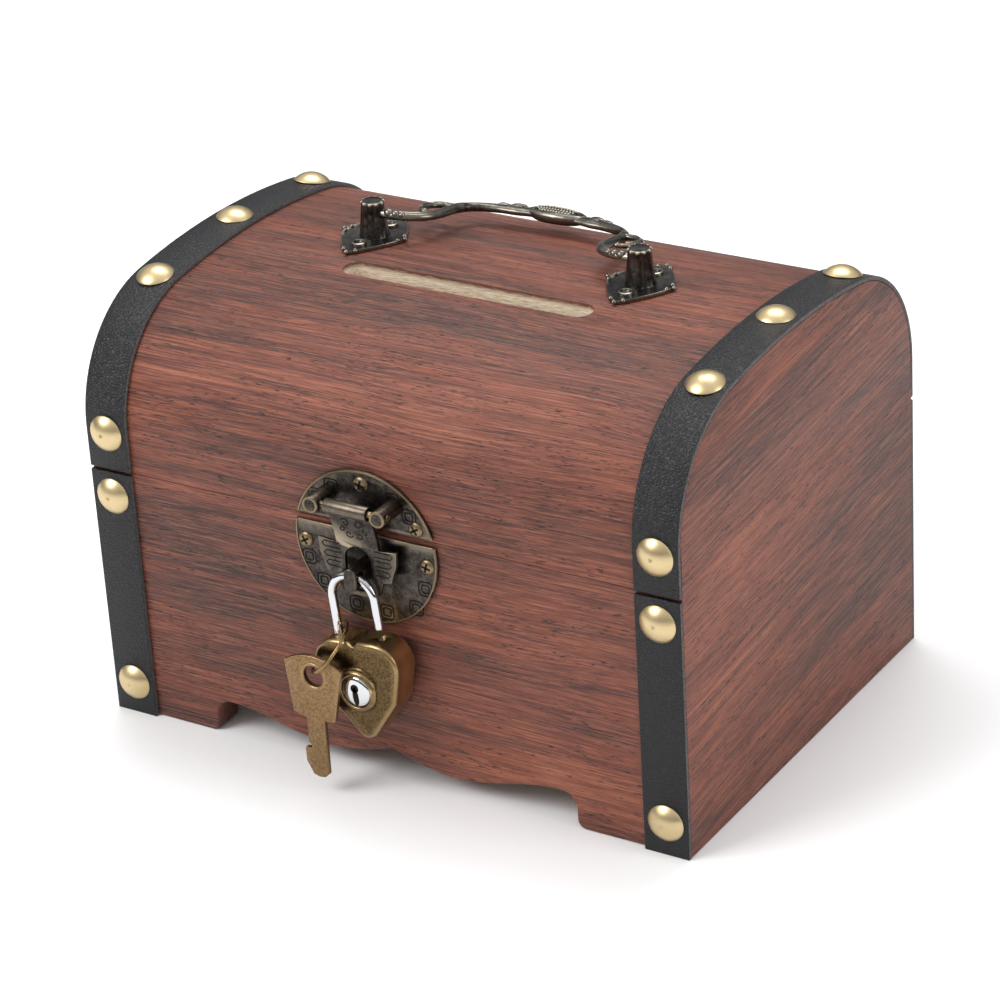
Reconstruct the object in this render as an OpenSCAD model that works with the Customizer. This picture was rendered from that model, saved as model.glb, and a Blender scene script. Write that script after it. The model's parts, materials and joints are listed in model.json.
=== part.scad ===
// Wooden money box with a domed lid, leather-look straps, a hasp and a small padlock.
// Millimetres. +Z up, the front (lock side) faces -Y. The origin is on the surface that
// the box stands on, in the middle of the whole footprint, padlock and hinges included.

/* [Box] */
// Length over the two end panels
body_l = 145; // [125:1:175]
// Depth over the bare wood, front to back
body_d = 103; // [90:1:125]
// Height of the bare wood at the crown of the lid
body_h = 98; // [90:1:120]
// Height of the seam between box and lid
seam_h = 59.5; // [52:0.5:66]
// Thickness of the front, back and end panels
wall_t = 7.5; // [6:0.5:10]
// Thickness of the curved lid board
lid_t = 5; // [4:0.5:7]
// Thickness of the floor board
floor_t = 3; // [2:0.5:4]
// Height of the floor board's underside
floor_z = 9.5; // [9:0.5:14]
// Depth of the groove that holds the floor board
floor_groove = 2; // [1:0.5:3]
// Radius where the lid turns from its side to its crown
corner_r = 27; // [22:1:32]
// Radius of the crown of the lid
crown_r = 186; // [140:2:260]

/* [Feet] */
// Length of each foot from the end of the box
foot_l = 27; // [20:1:34]
// Height of the arches beside the feet
arch_h = 8; // [6:0.5:8.5]
// Height of the two low lobes of the scalloped edge
lobe_h = 3.9; // [2:0.1:5]
// Height of the cusp in the middle of the scalloped edge
cusp_h = 7.2; // [5:0.1:8.5]
// Distance of each low lobe from the middle
lobe_x = 15; // [12:1:18]

/* [Straps and studs] */
// Width of the straps
strap_w = 10.5; // [9:0.5:12]
// Thickness of the straps
strap_t = 1; // [0.6:0.1:1.4]
// Diameter of the stud heads
stud_d = 8.6; // [7:0.1:9]
// Height of the stud heads
stud_h = 2; // [1.4:0.1:2.4]
// Diameter of the stud nails
nail_d = 1.4; // [1:0.1:1.8]
// Length of the stud nails in the wood
nail_l = 5; // [3:0.5:7]
// Height of the lower studs on the box
stud_low_z = 7.6; // [6:0.2:12]
// Distance of the upper box studs below the seam
stud_below = 6; // [5:0.5:9]
// Distance of the lowest lid studs above the seam
stud_above = 8.9; // [7:0.1:9.2]
// Spacing of the studs over the crown, along the strap
stud_pitch = 30; // [26:1:34]

/* [Coin slot] */
// Length of the coin slot over its round ends
slot_l = 61; // [45:1:70]
// Width of the coin slot
slot_w = 6; // [5:0.5:8]
// Distance of the slot's middle in front of the crown line
slot_fwd = 11.2; // [10.5:0.1:14]

/* [Carry handle] */
// Distance between the two posts
post_pitch = 66.4; // [58:0.2:76]
// Distance of the posts behind the crown line
post_back = 4.5; // [4:0.5:8]
// Height of the posts above the crown
post_h = 8.6; // [8.2:0.1:10]
// Diameter of a post at its foot
post_foot_d = 6.8; // [6:0.1:8]
// Diameter of a post at its top
post_top_d = 5.2; // [5:0.1:6]
// Height of the handle's pivot above the crown
pivot_h = 5.8; // [5.6:0.1:6.4]
// Diameter of the handle's pivot pins
pivot_d = 2; // [1.6:0.1:2.2]
// Reach of the handle from its pivot to the middle of its grip
bail_reach = 22.4; // [20:0.2:26]
// Width of the handle's bar
bail_w = 2.8; // [2.2:0.1:3.4]
// Thickness of the handle's bar
bail_t = 2.2; // [1.6:0.1:2.6]
// Length of the oval medallion on the grip
medallion_l = 15; // [11:0.5:18]
// Width of the oval medallion
medallion_w = 6.4; // [5:0.2:8]
// Length and width of the posts' base plates, corner to corner
plate_l = 24; // [22:1:26]
plate_w = 16.8; // [15:0.2:18]
// Thickness of the base plates
plate_t = 1; // [0.8:0.1:1.4]

/* [Hasp] */
// Distance of the lock's middle from the middle of the box
lock_x = -1.9; // [-6:0.1:6]
// Diameter of the disc that the two lock plates make together
disc_d = 35; // [32:0.5:40]
// Distance of the disc's centre below the seam
disc_drop = 4.2; // [3:0.1:6]
// Thickness of the lock plates
disc_t = 0.8; // [0.6:0.1:1.2]
// Distance of each lock plate's straight edge from the seam
plate_edge = 0.9; // [0.6:0.1:1.4]
// Distance between the two hinge posts of the hasp
hasp_pitch = 16.4; // [15:0.2:19]
// Diameter of the hasp's hinge posts
hasp_post_d = 3.7; // [3.2:0.1:4.2]
// Length of the hinge posts in front of the wood
hasp_post_l = 7.8; // [7.6:0.1:9]
// Height of the hasp's hinge pin above the seam
hasp_up = 7; // [6:0.1:8]
// Distance of the hasp's hinge pin in front of the wood
hasp_fwd = 6.3; // [6:0.1:6.6]
// Diameter of the hasp's hinge pin
hasp_pin_d = 1.4; // [1.2:0.1:1.6]
// Outside diameter of the hasp's knuckle
knuckle_d = 3.1; // [2.8:0.1:3.4]
// Length of the knuckle and width of the hasp's neck
neck_w = 10.5; // [9:0.1:11.5]
// Width over the hasp's wings
wing_w = 19.2; // [17:0.2:22]
// Thickness of the hasp
hasp_t = 0.9; // [0.7:0.1:1.2]
// Distance of the hanging hasp's back face in front of the wood
hasp_hang = 3.05; // [2.8:0.05:3.3]
// Width of the hole in the hasp
hasp_hole_w = 6.4; // [5.6:0.1:7]

/* [Staple] */
// Width of the staple
staple_w = 2.9; // [2.4:0.1:3.4]
// Height of the staple
staple_h = 5.3; // [5:0.1:5.6]
// Length of the staple in front of the wood
staple_l = 7.6; // [7.6:0.1:8.4]
// Height of the staple's eye below the seam
eye_drop = 8.9; // [8.5:0.1:9.3]
// Distance of the staple's eye in front of the wood
eye_fwd = 5.5; // [5.4:0.1:5.6]
// Play of the shackle's wire in the staple's eye, on the diameter
eye_gap = 0.9; // [0.7:0.1:1]

/* [Padlock] */
// Tilt of the hanging padlock, its foot towards +X, in degrees
pad_tilt = 6; // [0:0.5:8]
// Diameter of the shackle's wire
wire_d = 1.9; // [1.6:0.1:2]
// Distance between the two legs of the shackle
leg_pitch = 10.6; // [10:0.1:11]
// Height of the bow's centre above the case while the padlock is open
bow_up = 10; // [9.5:0.1:10.5]
// Travel of the case along the shackle when it is pressed shut
close_travel = 6; // [5.5:0.1:6]
// Depth of the long leg in the case while the padlock is open
long_leg = 7.2; // [6.8:0.1:7.4]
// Gap between the short leg's end and the case while the padlock is open
short_gap = 3.3; // [2.6:0.1:3.6]
// Thickness of the case
case_t = 7; // [6:0.1:7.6]
// Thickness of the case's back cover
cover_t = 1.2; // [0.8:0.1:1.5]
// Depth of the case from its notch to its point
case_h = 21; // [19:0.2:23]
// Diameter of the turning plug
plug_d = 7.2; // [6.4:0.1:7.6]
// Height of the boss round the plug
boss_h = 1.4; // [0.8:0.1:1.5]
// Depth of the plug's centre below the case's notch
plug_drop = 9.4; // [9:0.1:10]

/* [Ring and key] */
// Radius of the key ring, to the middle of its wire
ring_r = 6.4; // [6.3:0.05:6.5]
// Diameter of the key ring's wire
ring_wire = 0.9; // [0.7:0.05:0.9]
// Thickness of the key
key_t = 1.2; // [0.8:0.1:1.3]
// Width of the key's head at its top
key_head_w = 14.4; // [12:0.1:16]
// Length of the key below its hole's centre
key_l = 24.4; // [20:0.2:25]
// Diameter of the hole in the key's head
key_hole_d = 4.8; // [4.6:0.1:5.2]

/* [Clearances] */
// Radial clearance of a pin that turns in its hole
run_gap = 0.05; // [0.02:0.01:0.1]
// Gap between pieces that pass each other
pass_gap = 0.3; // [0.2:0.05:0.4]

/* [Hidden] */
$fn = 64;

WOOD = "#7f4c41";
RAW_WOOD = "#c9ab88";
LEATHER = "#35343b";
BRASS = "#d8c28c";
BRONZE = "#5a5448";
ANTIQUE = "#8a7446";
CHROME = "#d8dade";

half_l = body_l / 2;
half_d = body_d / 2;
inner_l = half_l - wall_t;
inner_d = half_d - wall_t;

// The lid's outline: straight sides, two corner arcs and a crown arc, all tangent.
corner_y = half_d - corner_r;
crown_z = body_h - crown_r;
corner_z = crown_z + sqrt(pow(crown_r - corner_r, 2) - pow(corner_y, 2));
crown_half_angle = asin(corner_y / (crown_r - corner_r));
crown_s = crown_r * crown_half_angle * PI / 180;
corner_s = corner_r * (90 - crown_half_angle) * PI / 180;

strap_x = half_l - strap_w / 2;
stud_z_high = seam_h - stud_below;
crown_studs = [-stud_pitch, 0, stud_pitch];
side_stud_s = crown_s + corner_s + corner_z - seam_h - stud_above;
lid_stud_s = concat([-side_stud_s], crown_studs, [side_stud_s]);
nail_hole_d = nail_d + 2 * run_gap;

// Screws: head, shank and the small gap round the shank.
screw_d = 1.6;
screw_head_d = 3.4;
screw_head_h = 0.9;
screw_hole_d = screw_d + 2 * run_gap;

// Handle
post_x = post_pitch / 2;
pivot_z = body_h + pivot_h;
pivot_hole_d = pivot_d + 2 * run_gap;
pivot_depth = 1.6;
bail_tilt = 10;
post_side = (post_foot_d + (post_top_d - post_foot_d) * pivot_h / post_h) / 2;
bail_half = post_x - post_side - pass_gap;
handle_screw_off = 6.2;
handle_screw_l = 3;

// Hasp
disc_r = disc_d / 2;
disc_z = seam_h - disc_drop;
hasp_z = seam_h + hasp_up;
hasp_hole_top = 9.7;
hasp_hole_len = 10.2;
hasp_bottom = 21.1;
wing_top = 9.6;
wing_bottom = 16.6;
neck_bend = 8.5;
lock_screw_off = 15;
catch_screw_off = 12.8;
catch_screw_up = 2.6;
eye_z = seam_h - eye_drop;
peg_d = 2;
peg_l = 4;
lock_screw_l = 4;

// Hinges at the back
hinge_x = 40;
hinge_w = 21;
leaf_h = 9.5;
leaf_t = 1;
barrel_d = 3.4;
hinge_pin_d = 1.6;
hinge_y = half_d + barrel_d / 2 + 0.1;
knuckle_w = hinge_w / 3;
leaf_gap = 0.2;
hinge_screw_l = 4;
hinge_screw_x = 6.5;
hinge_screw_z = 6;

// Padlock: its own frame has x across, z along the legs, -y to the front, and its origin
// on the middle plane of the case at the notch between the two lobes.
leg_x = leg_pitch / 2;
wire_r = wire_d / 2;
leg_hole_d = wire_d + 2 * run_gap;
bow_shift = -0.75;
case_half = case_t / 2;
lobe_r = 5.6;
lobe_off = 4.9;
lobe_down = 4.2;
plug_front = case_half + boss_h + 0.2;
plug_back = 0.8;
latch_t = 1.2;
latch_w = 2.2;
latch_peg = 2;
latch_reach = leg_x - wire_r + 0.6;
pocket_r = latch_reach + pass_gap;
eye_y = -half_d - eye_fwd;

// Ring: its centre in the padlock's frame, its tilt from level and its turn about the legs.
ring_off = [-7, -1.84, -1.21];
ring_tilt = 44.82;
ring_turn = -56.89;
// Key: it hangs on the ring at this angle round it, its hole's centre a little lower.
key_at = -64;
key_off = ring_off + ring_r * [
    cos(key_at) * cos(ring_turn) - sin(key_at) * cos(ring_tilt) * sin(ring_turn),
    cos(key_at) * sin(ring_turn) + sin(key_at) * cos(ring_tilt) * cos(ring_turn),
    sin(key_at) * sin(ring_tilt)];
key_hang = [0, 0.3, -0.8];

// How far the object reaches before and behind the middle of the box: ring and hinges.
ring_reach = ring_r * sqrt(1 - pow(sin(ring_tilt) * cos(ring_turn), 2)) + ring_wire / 2;
reach_front = half_d + eye_fwd - ring_off[1] + ring_reach;
reach_back = hinge_y + barrel_d / 2;
mid_y = (reach_front - reach_back) / 2;

// ---- helpers ----

// Moves the box's own middle to its place over the origin.
module at_box() { translate([0, mid_y, 0]) children(); }

// Extrudes a (y, z) outline from x0 to x1.
module along_x(x0, x1) {
    translate([x0, 0, 0]) rotate([90, 0, 90]) linear_extrude(x1 - x0) children();
}

// Extrudes an (x, z) outline forwards from y0 to y1, y1 being nearer the front.
module to_front(y0, y1) {
    translate([0, y0, 0]) rotate([90, 0, 0]) linear_extrude(y0 - y1) children();
}

module block(low, high) { translate(low) cube(high - low); }

// A cylinder along X, centred on the given x.
module bar_x(d, l) { rotate([0, 90, 0]) cylinder(d = d, h = l, center = true); }

// The lid's and ends' outline above the height z0, moved inwards by inset.
module dome(inset, z0) {
    intersection() {
        union() {
            translate([-half_d + inset, z0]) square([2 * (half_d - inset), corner_z - z0]);
            for (s = [-1, 1]) translate([s * corner_y, corner_z]) circle(corner_r - inset, $fn = 96);
            intersection() {
                translate([0, crown_z]) circle(crown_r - inset, $fn = 360);
                polygon([[0, crown_z],
                    [-2 * crown_r * tan(crown_half_angle), crown_z + 2 * crown_r],
                    [2 * crown_r * tan(crown_half_angle), crown_z + 2 * crown_r]]);
            }
        }
        translate([-body_d, z0]) square([2 * body_d, 2 * body_h]);
    }
}

// Place on the dome's outside at the distance s from the crown line, measured along it.
function dome_angle(s) = abs(s) < crown_s ? s / crown_r * 180 / PI
    : abs(s) < crown_s + corner_s
    ? sign(s) * (crown_half_angle + (abs(s) - crown_s) / corner_r * 180 / PI)
    : sign(s) * 90;
function dome_y(s) = abs(s) < crown_s ? crown_r * sin(dome_angle(s))
    : sign(s) * (corner_y + corner_r * sin(abs(dome_angle(s))));
function dome_z(s) = abs(s) < crown_s ? crown_z + crown_r * cos(dome_angle(s))
    : abs(s) < crown_s + corner_s ? corner_z + corner_r * cos(dome_angle(s))
    : corner_z - (abs(s) - crown_s - corner_s);
module on_dome(s, out) {
    translate([0, dome_y(s), dome_z(s)]) rotate([-dome_angle(s), 0, 0]) translate([0, 0, out]) children();
}

// ---- studs, nails and screws ----

module stud() {
    ball_r = (pow(stud_d / 2, 2) + pow(stud_h, 2)) / (2 * stud_h);
    intersection() {
        translate([0, 0, stud_h - ball_r]) sphere(ball_r, $fn = 48);
        cylinder(d = stud_d + 1, h = stud_h + 1);
    }
    translate([0, 0, -strap_t - nail_l]) cylinder(d = nail_d, h = nail_l + strap_t, $fn = 24);
}
module nail_hole() {
    translate([0, 0, -strap_t - nail_l - pass_gap])
        cylinder(d = nail_hole_d, h = nail_l + strap_t + 2, $fn = 24);
}
// Places on the box's straps: x side, front (-1) or back (1), high and low.
module at_box_studs(x_sides = [-1, 1], y_sides = [-1, 1]) {
    for (sx = x_sides, sy = y_sides, z = [stud_low_z, stud_z_high])
        translate([sx * strap_x, sy * (half_d + strap_t), z]) rotate([sy * -90, 0, 0]) children();
}
module at_lid_studs(x_sides = [-1, 1]) {
    for (sx = x_sides, s = lid_stud_s) translate([sx * strap_x, 0, 0]) on_dome(s, strap_t) children();
}

// A round-headed screw whose head rests on z = 0.
module screw(l) {
    ball_r = (pow(screw_head_d / 2, 2) + pow(screw_head_h, 2)) / (2 * screw_head_h);
    difference() {
        intersection() {
            translate([0, 0, screw_head_h - ball_r]) sphere(ball_r, $fn = 32);
            cylinder(d = screw_head_d, h = screw_head_h + 1);
        }
        for (a = [0, 90]) rotate(a) translate([-1, -0.2, screw_head_h - 0.35]) cube([2, 0.4, 1]);
    }
    translate([0, 0, -l]) cylinder(d = screw_d, h = l, $fn = 24);
}
module screw_hole(l) {
    translate([0, 0, -l - pass_gap]) cylinder(d = screw_hole_d, h = l + 2, $fn = 24);
}
module at_lock_screws() {
    for (s = [-1, 1]) translate([lock_x + s * lock_screw_off, -half_d - disc_t, disc_z - 1.3])
        rotate([90, 0, 0]) children();
}
module at_catch_screws() {
    for (p = [[-catch_screw_off, catch_screw_up], [catch_screw_off, catch_screw_up], [0, 10.3]])
        translate([lock_x + p[0], -half_d - disc_t, seam_h + p[1]]) rotate([90, 0, 0]) children();
}
module at_hinge_screws(side) {
    for (sx = [-1, 1], dx = [-hinge_screw_x, hinge_screw_x])
        translate([sx * hinge_x + dx, half_d + leaf_t, seam_h + side * hinge_screw_z])
            rotate([-90, 0, 0]) children();
}
module at_handle_screws() {
    for (sx = [-1, 1], dy = [-handle_screw_off, handle_screw_off])
        translate([sx * post_x, 0, 0]) on_dome(post_back + dy, plate_t) children();
}

// ---- box ----

// Height of the scalloped edge at the distance x from the middle, between the feet.
function scallop(x) = abs(x) > lobe_x
    ? lobe_h + (arch_h - lobe_h) * (0.5 - 0.5 * cos(180 * min(1, (abs(x) - lobe_x) / (arch_x - lobe_x))))
    : lobe_h + (cusp_h - lobe_h) * pow(1 - abs(x) / lobe_x, 1.5);
foot_x = half_l - foot_l;
arch_r = 3.6;
arch_x = foot_x - arch_r;
foot_round = 2;
scallop_steps = 40;

// The front or back panel in (x, z).
module scalloped_outline() {
    difference() {
        translate([-inner_l, 0]) square([2 * inner_l, seam_h]);
        polygon(concat(
            [[-foot_x - foot_round, -1], [-foot_x - foot_round, 0]],
            [for (a = [90:-15:0]) [-foot_x - foot_round + foot_round * cos(a), foot_round * (1 - sin(a))]],
            [for (a = [180:-15:90]) [-arch_x + arch_r * cos(a), arch_h - arch_r * (1 - sin(a))]],
            [for (i = [1:scallop_steps - 1]) let (x = arch_x * (2 * i / scallop_steps - 1)) [x, scallop(x)]],
            [for (a = [90:-15:0]) [arch_x + arch_r * cos(a), arch_h - arch_r * (1 - sin(a))]],
            [for (a = [180:-15:90]) [foot_x + foot_round + foot_round * cos(a), foot_round * (1 - sin(a))]],
            [[foot_x + foot_round, 0], [foot_x + foot_round, -1]]));
    }
}
module floor_space() {
    block([-inner_l - floor_groove, -inner_d - floor_groove, floor_z],
        [inner_l + floor_groove, inner_d + floor_groove, floor_z + floor_t]);
}
module front_panel() {
    color(WOOD) at_box() difference() {
        to_front(-inner_d, -half_d) scalloped_outline();
        floor_space();
        at_lock_screws() screw_hole(lock_screw_l);
        staple_peg(run_gap);
    }
}
module back_panel() {
    color(WOOD) at_box() difference() {
        to_front(half_d, inner_d) scalloped_outline();
        floor_space();
        at_hinge_screws(-1) screw_hole(hinge_screw_l);
    }
}
module end_panel(side) {
    color(WOOD) at_box() difference() {
        block([side > 0 ? inner_l : -half_l, -half_d, 0], [side > 0 ? half_l : -inner_l, half_d, seam_h]);
        floor_space();
        at_box_studs([side]) nail_hole();
    }
}
module left_end_panel() { end_panel(-1); }
module right_end_panel() { end_panel(1); }
module floor_panel() { color(RAW_WOOD) at_box() floor_space(); }

module box_strap(sx, sy) {
    y0 = sy > 0 ? half_d : -half_d - strap_t;
    x0 = sx > 0 ? half_l - strap_w : -half_l;
    color(LEATHER) at_box() difference() {
        block([x0, y0, 0], [x0 + strap_w, y0 + strap_t, seam_h]);
        at_box_studs([sx], [sy]) nail_hole();
    }
}
module strap_front_left() { box_strap(-1, -1); }
module strap_front_right() { box_strap(1, -1); }
module strap_back_left() { box_strap(-1, 1); }
module strap_back_right() { box_strap(1, 1); }
module box_studs() { color(BRASS) at_box() at_box_studs() stud(); }

// ---- lid ----

module lid_board() {
    color(WOOD) at_box() difference() {
        along_x(-inner_l, inner_l) difference() {
            dome(0, seam_h);
            dome(lid_t, seam_h - 1);
        }
        translate([0, -slot_fwd, body_h - 3 * lid_t]) linear_extrude(4 * lid_t)
            for (s = [-1, 1]) {
                translate([s * (slot_l - slot_w) / 2, 0]) circle(d = slot_w, $fn = 32);
                square([slot_l - slot_w, slot_w], center = true);
            }
        at_catch_screws() screw_hole(lock_screw_l);
        at_hinge_screws(1) screw_hole(hinge_screw_l);
        at_handle_screws() screw_hole(handle_screw_l);
    }
}
module lid_end(side) {
    color(WOOD) at_box() difference() {
        along_x(side > 0 ? inner_l : -half_l, side > 0 ? half_l : -inner_l) dome(0, seam_h);
        at_lid_studs([side]) nail_hole();
    }
}
module lid_left_end() { lid_end(-1); }
module lid_right_end() { lid_end(1); }
module lid_strap(side) {
    x0 = side > 0 ? half_l - strap_w : -half_l;
    color(LEATHER) at_box() difference() {
        along_x(x0, x0 + strap_w) difference() {
            dome(-strap_t, seam_h);
            dome(0, seam_h - 1);
        }
        at_lid_studs([side]) nail_hole();
    }
}
module lid_strap_left() { lid_strap(-1); }
module lid_strap_right() { lid_strap(1); }
module lid_studs() { color(BRASS) at_box() at_lid_studs() stud(); }

// ---- lock plates, staple and hasp ----

// One side of the lock's disc in (x, z): above or below the seam.
module disc_part(upper) {
    intersection() {
        translate([lock_x, disc_z]) circle(disc_r, $fn = 96);
        translate([lock_x - disc_r - 1, upper ? seam_h + plate_edge : seam_h - plate_edge - disc_d])
            square([disc_d + 2, disc_d]);
    }
}
// The staple's round peg through the plate into the wood.
module staple_peg(gap = 0) {
    translate([lock_x, -half_d - disc_t - 1, eye_z]) rotate([-90, 0, 0])
        cylinder(d = peg_d + 2 * gap, h = 1 + disc_t + peg_l + gap, $fn = 32);
}
module lock_plate() {
    color(BRONZE) at_box() difference() {
        to_front(-half_d, -half_d - disc_t) disc_part(false);
        at_lock_screws() screw_hole(lock_screw_l);
        staple_peg(run_gap);
    }
}
module staple() {
    front = -half_d - staple_l;
    color(BRONZE) at_box() difference() {
        union() {
            to_front(-half_d - disc_t, front) translate([lock_x, eye_z]) {
                square([staple_w, staple_h - staple_w], center = true);
                for (s = [-1, 1]) translate([0, s * (staple_h - staple_w) / 2]) circle(d = staple_w, $fn = 32);
            }
            staple_peg();
        }
        translate([lock_x, eye_y, eye_z]) bar_x(wire_d + eye_gap, staple_w + 2);
    }
}
module lock_plate_screws() { color(BRONZE) at_box() at_lock_screws() screw(lock_screw_l); }
module catch_plate() {
    color(BRONZE) at_box() difference() {
        to_front(-half_d, -half_d - disc_t) disc_part(true);
        at_catch_screws() screw_hole(lock_screw_l);
    }
}
module hasp_posts() {
    color(BRONZE) at_box() difference() {
        for (s = [-1, 1]) translate([lock_x + s * hasp_pitch / 2, -half_d - disc_t, hasp_z])
            rotate([90, 0, 0]) cylinder(d = hasp_post_d, h = hasp_post_l - disc_t);
        translate([lock_x, -half_d - hasp_fwd, hasp_z]) bar_x(hasp_pin_d, hasp_pitch + hasp_post_d + 2);
    }
}
module hasp_pin() {
    color(BRASS) at_box() translate([lock_x, -half_d - hasp_fwd, hasp_z])
        bar_x(hasp_pin_d, hasp_pitch + hasp_post_d, $fn = 32);
}
module catch_plate_screws() { color(BRONZE) at_box() at_catch_screws() screw(lock_screw_l); }

// The hasp's outline in (x, z), from its pin downwards.
module hasp_outline() {
    wing = wing_w / 2;
    neck = neck_w / 2;
    difference() {
        polygon([[-neck, 0], [-neck, -wing_top], [-wing, -wing_top + 0.4], [-wing + 0.2, -wing_top - 3],
            [-wing + 1, -wing_top - 5], [-wing + 1.6, -wing_bottom], [-neck - 0.6, -wing_bottom - 0.4],
            [-neck + 0.2, -hasp_bottom + 1.4], [-neck + 1.6, -hasp_bottom], [neck - 1.6, -hasp_bottom],
            [neck - 0.2, -hasp_bottom + 1.4], [neck + 0.6, -wing_bottom - 0.4], [wing - 1.6, -wing_bottom],
            [wing - 1, -wing_top - 5], [wing - 0.2, -wing_top - 3], [wing, -wing_top + 0.4],
            [neck, -wing_top], [neck, 0]]);
        for (z = [hasp_hole_top + hasp_hole_w / 2, hasp_hole_top + hasp_hole_len - hasp_hole_w / 2])
            translate([0, -z]) circle(d = hasp_hole_w, $fn = 32);
        translate([-hasp_hole_w / 2, -hasp_hole_top - hasp_hole_len + hasp_hole_w / 2])
            square([hasp_hole_w, hasp_hole_len - hasp_hole_w]);
    }
}
// The hasp's side view in (y, z), from its pin: a sloping neck and an upright plate.
module hasp_side() {
    back = hasp_fwd - hasp_hang;
    polygon([[0.1, 1], [0.4 + hasp_t, 1], [back, -neck_bend], [back, -hasp_bottom - 1],
        [back - hasp_t, -hasp_bottom - 1], [back - hasp_t, -neck_bend]]);
}
module hasp_flap() {
    color(BRONZE) at_box() translate([lock_x, -half_d - hasp_fwd, hasp_z]) difference() {
        union() {
            intersection() {
                to_front(hasp_fwd, -hasp_fwd) hasp_outline();
                along_x(-wing_w, wing_w) hasp_side();
            }
            bar_x(knuckle_d, neck_w);
        }
        bar_x(hasp_pin_d + 2 * run_gap, neck_w + 2);
    }
}

// ---- rear hinges ----

module barrel(x0, x1) {
    translate([(x0 + x1) / 2, hinge_y, seam_h]) bar_x(barrel_d, x1 - x0);
}
module pin_bore(x) {
    translate([x, hinge_y, seam_h]) bar_x(hinge_pin_d + 2 * run_gap, hinge_w + 2, $fn = 32);
}
module box_leaf(x) {
    color(BRONZE) at_box() difference() {
        union() {
            block([x - hinge_w / 2, half_d, seam_h - leaf_h], [x + hinge_w / 2, half_d + leaf_t, seam_h - leaf_gap]);
            barrel(x - hinge_w / 2, x - knuckle_w / 2);
            barrel(x + knuckle_w / 2, x + hinge_w / 2);
        }
        block([x - knuckle_w / 2 - 0.01, half_d - 1, seam_h - barrel_d / 2 - leaf_gap],
            [x + knuckle_w / 2 + 0.01, half_d + barrel_d + 1, seam_h + barrel_d]);
        pin_bore(x);
        at_hinge_screws(-1) screw_hole(hinge_screw_l);
    }
}
module lid_leaf(x) {
    free = knuckle_w / 2 - leaf_gap;
    color(BRONZE) at_box() difference() {
        union() {
            block([x - hinge_w / 2, half_d, seam_h + barrel_d / 2 + leaf_gap],
                [x + hinge_w / 2, half_d + leaf_t, seam_h + leaf_h]);
            block([x - free, half_d + 0.1, seam_h + 0.3], [x + free, half_d + leaf_t, seam_h + leaf_h]);
            barrel(x - free, x + free);
        }
        pin_bore(x);
        at_hinge_screws(1) screw_hole(hinge_screw_l);
    }
}
module hinge_pin(x) {
    color(BRONZE) at_box() translate([x, hinge_y, seam_h]) {
        bar_x(hinge_pin_d, hinge_w, $fn = 32);
        for (s = [-1, 1]) translate([s * (hinge_w / 2 + 0.3), 0, 0]) bar_x(hinge_pin_d + 0.8, 0.6, $fn = 32);
    }
}
module hinge_left_box_leaf() { box_leaf(-hinge_x); }
module hinge_right_box_leaf() { box_leaf(hinge_x); }
module hinge_left_pin() { hinge_pin(-hinge_x); }
module hinge_right_pin() { hinge_pin(hinge_x); }
module hinge_box_screws() { color(BRONZE) at_box() at_hinge_screws(-1) screw(hinge_screw_l); }
module hinge_left_lid_leaf() { lid_leaf(-hinge_x); }
module hinge_right_lid_leaf() { lid_leaf(hinge_x); }
module hinge_lid_screws() { color(BRONZE) at_box() at_hinge_screws(1) screw(hinge_screw_l); }

// ---- carry handle ----

// A cast post on a lozenge plate that follows the dome; the bail's pin turns in its side.
module handle_post(side) {
    x = side * post_x;
    color(BRONZE) at_box() difference() {
        union() {
            intersection() {
                translate([x, post_back, body_h - 10]) linear_extrude(20) polygon([
                    for (a = [0:30:359]) let (r = a % 90 == 0 ? 1 : 0.78)
                        [plate_w / 2 * r * cos(a), plate_l / 2 * r * sin(a)]]);
                along_x(x - plate_w, x + plate_w) difference() {
                    dome(-plate_t, seam_h);
                    dome(0, seam_h - 1);
                }
            }
            translate([x, post_back, body_h + plate_t / 2])
                cylinder(d1 = post_foot_d, d2 = post_top_d, h = post_h - plate_t / 2);
        }
        translate([side * (post_x - post_side + pivot_depth / 2 - 0.5), post_back, pivot_z])
            bar_x(pivot_hole_d, pivot_depth + 1, $fn = 32);
        at_handle_screws() screw_hole(handle_screw_l);
    }
}
module handle_post_left() { handle_post(-1); }
module handle_post_right() { handle_post(1); }
module handle_screws() { color(BRONZE) at_box() at_handle_screws() screw(handle_screw_l); }

// The bail's centre line in its own plane: x across, y the reach from the pivot.
function bezier(p, t) = pow(1 - t, 3) * p[0] + 3 * pow(1 - t, 2) * t * p[1]
    + 3 * (1 - t) * t * t * p[2] + pow(t, 3) * p[3];
knee_x = 20.5;
knee_y = bail_reach - 5.4;
arm_curve = [[bail_half, 0], [knee_x, -0.5], [knee_x + 0.5, 7], [knee_x + 0.5, knee_y - 3.5]];
grip_curve = [[knee_x + 0.5, knee_y - 3.5], [knee_x + 0.5, knee_y + 2.5], [12, bail_reach], [0, bail_reach]];
half_line = concat([for (i = [0:9]) bezier(arm_curve, i / 10)], [for (i = [0:10]) bezier(grip_curve, i / 10)]);
bail_line = concat(half_line, [for (i = [len(half_line) - 2:-1:0]) [-half_line[i][0], half_line[i][1]]]);
function unit2(v) = v / norm(v);
function line_dir(p, i) = unit2(p[min(i + 1, len(p) - 1)] - p[max(i - 1, 0)]);
function line_side(p, i, w) = p[i] + w * [-line_dir(p, i)[1], line_dir(p, i)[0]];
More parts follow.
